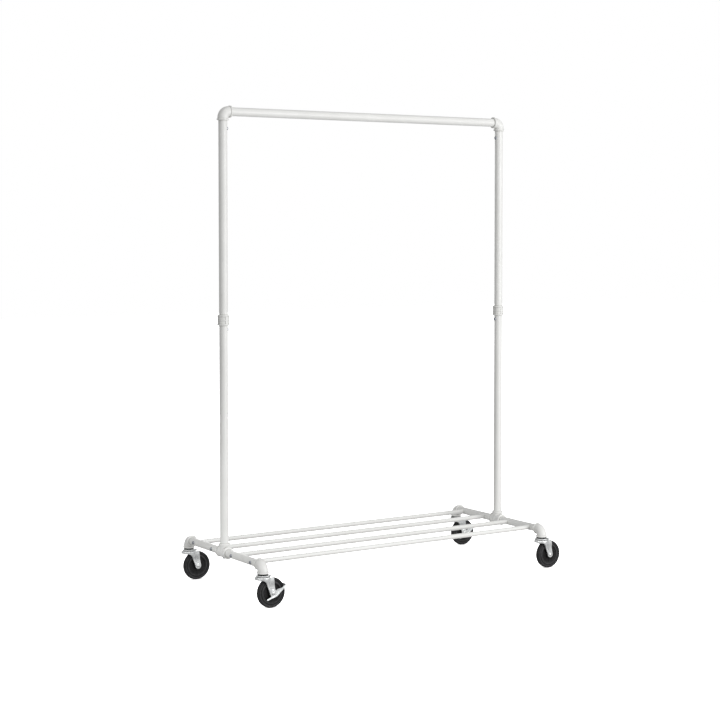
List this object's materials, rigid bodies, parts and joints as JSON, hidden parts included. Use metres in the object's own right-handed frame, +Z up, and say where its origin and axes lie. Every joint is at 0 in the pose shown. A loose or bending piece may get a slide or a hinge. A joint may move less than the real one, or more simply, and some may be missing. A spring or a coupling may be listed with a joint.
{
  "type": "garment rail",
  "caption": "Rolling garment rail of white pipe with elbow, tee and coupling fittings, a low shelf of round rods and swivel casters.",
  "frame": {"origin": "on the floor, under the middle of the whole part with its casters trailing to the right", "axes": "+X along the rail from left to right, +Y to the back, +Z up; the posts and the rail lie in the plane y = 0"},
  "size_m": [1.201, 0.543, 1.5542],
  "materials": {
    "tube_white": "satin white powder coat on steel tube",
    "casting_white": "satin white powder coat over a cast surface",
    "zinc_plate": "bright zinc plate on pressed steel",
    "bolt_zinc": "zinc plated fastener",
    "screw_steel": "dull dark steel",
    "bearing_steel": "polished ball steel",
    "inner_steel": "bare steel, out of sight",
    "tyre_rubber": "matt black solid rubber",
    "wheel_plastic": "moulded black plastic",
    "washer_black": "black nylon"
  },
  "bodies": {
    "frame": {"base_elbow_front_left": "casting_white", "base_elbow_front_right": "casting_white", "base_elbow_rear_left": "casting_white", "base_elbow_rear_right": "casting_white", "base_tee_left": "casting_white", "base_tee_right": "casting_white", "caster_stems": "zinc_plate", "lower_post_left": "tube_white", "lower_post_right": "tube_white", "post_coupling_left": "casting_white", "post_coupling_right": "casting_white", "post_plugs": "inner_steel", "post_screws": "screw_steel", "post_sleeves": "inner_steel", "shelf_rod_front": "tube_white", "shelf_rod_inserts": "inner_steel", "shelf_rod_mid_front": "tube_white", "shelf_rod_mid_rear": "tube_white", "shelf_rod_rear": "tube_white", "shelf_rod_screws": "screw_steel", "side_tube_front_left": "tube_white", "side_tube_front_right": "tube_white", "side_tube_rear_left": "tube_white", "side_tube_rear_right": "tube_white", "stem_inserts": "inner_steel", "stem_washers": "washer_black", "tee_bolts": "screw_steel", "top_elbow_left": "casting_white", "top_elbow_right": "casting_white", "top_rail": "tube_white", "upper_post_left": "tube_white", "upper_post_right": "tube_white"},
    "front_left_swivel": {"front_left_fork": "zinc_plate", "front_left_axle_bolt": "bolt_zinc", "front_left_axle_nut": "bolt_zinc", "front_left_balls": "bearing_steel"},
    "front_left_wheel": {"front_left_wheel_core": "wheel_plastic", "front_left_tyre": "tyre_rubber"},
    "front_left_brake": {"front_left_brake_lever": "zinc_plate"},
    "front_right_swivel": {"front_right_fork": "zinc_plate", "front_right_axle_bolt": "bolt_zinc", "front_right_axle_nut": "bolt_zinc", "front_right_balls": "bearing_steel"},
    "front_right_wheel": {"front_right_wheel_core": "wheel_plastic", "front_right_tyre": "tyre_rubber"},
    "rear_left_swivel": {"rear_left_fork": "zinc_plate", "rear_left_axle_bolt": "bolt_zinc", "rear_left_axle_nut": "bolt_zinc", "rear_left_balls": "bearing_steel"},
    "rear_left_wheel": {"rear_left_wheel_core": "wheel_plastic", "rear_left_tyre": "tyre_rubber"},
    "rear_right_swivel": {"rear_right_fork": "zinc_plate", "rear_right_axle_bolt": "bolt_zinc", "rear_right_axle_nut": "bolt_zinc", "rear_right_balls": "bearing_steel"},
    "rear_right_wheel": {"rear_right_wheel_core": "wheel_plastic", "rear_right_tyre": "tyre_rubber"},
    "rear_right_brake": {"rear_right_brake_lever": "zinc_plate"}
  },
  "joints": [
    {"name": "front_left_swivel", "type": "hinge", "parent": "frame", "child": "front_left_swivel", "pos_m": [-0.575, -0.246, 0.0475], "axis": [0, 0, 1], "continuous": true},
    {"name": "front_left_roll", "type": "hinge", "parent": "front_left_swivel", "child": "front_left_wheel", "pos_m": [-0.547, -0.246, 0.0475], "axis": [0, 1, 0], "continuous": true},
    {"name": "front_left_brake", "type": "hinge", "parent": "front_left_swivel", "child": "front_left_brake", "pos_m": [-0.547, -0.246, 0.0475], "axis": [0, 1, 0], "range_deg": [0, 22]},
    {"name": "front_right_swivel", "type": "hinge", "parent": "frame", "child": "front_right_swivel", "pos_m": [0.525, -0.246, 0.0475], "axis": [0, 0, 1], "continuous": true},
    {"name": "front_right_roll", "type": "hinge", "parent": "front_right_swivel", "child": "front_right_wheel", "pos_m": [0.553, -0.246, 0.0475], "axis": [0, 1, 0], "continuous": true},
    {"name": "rear_left_swivel", "type": "hinge", "parent": "frame", "child": "rear_left_swivel", "pos_m": [-0.575, 0.246, 0.0475], "axis": [0, 0, 1], "continuous": true},
    {"name": "rear_left_roll", "type": "hinge", "parent": "rear_left_swivel", "child": "rear_left_wheel", "pos_m": [-0.547, 0.246, 0.0475], "axis": [0, 1, 0], "continuous": true},
    {"name": "rear_right_swivel", "type": "hinge", "parent": "frame", "child": "rear_right_swivel", "pos_m": [0.525, 0.246, 0.0475], "axis": [0, 0, 1], "continuous": true},
    {"name": "rear_right_roll", "type": "hinge", "parent": "rear_right_swivel", "child": "rear_right_wheel", "pos_m": [0.553, 0.246, 0.0475], "axis": [0, 1, 0], "continuous": true},
    {"name": "rear_right_brake", "type": "hinge", "parent": "rear_right_swivel", "child": "rear_right_brake", "pos_m": [0.553, 0.246, 0.0475], "axis": [0, 1, 0], "range_deg": [0, 22]}
  ]
}
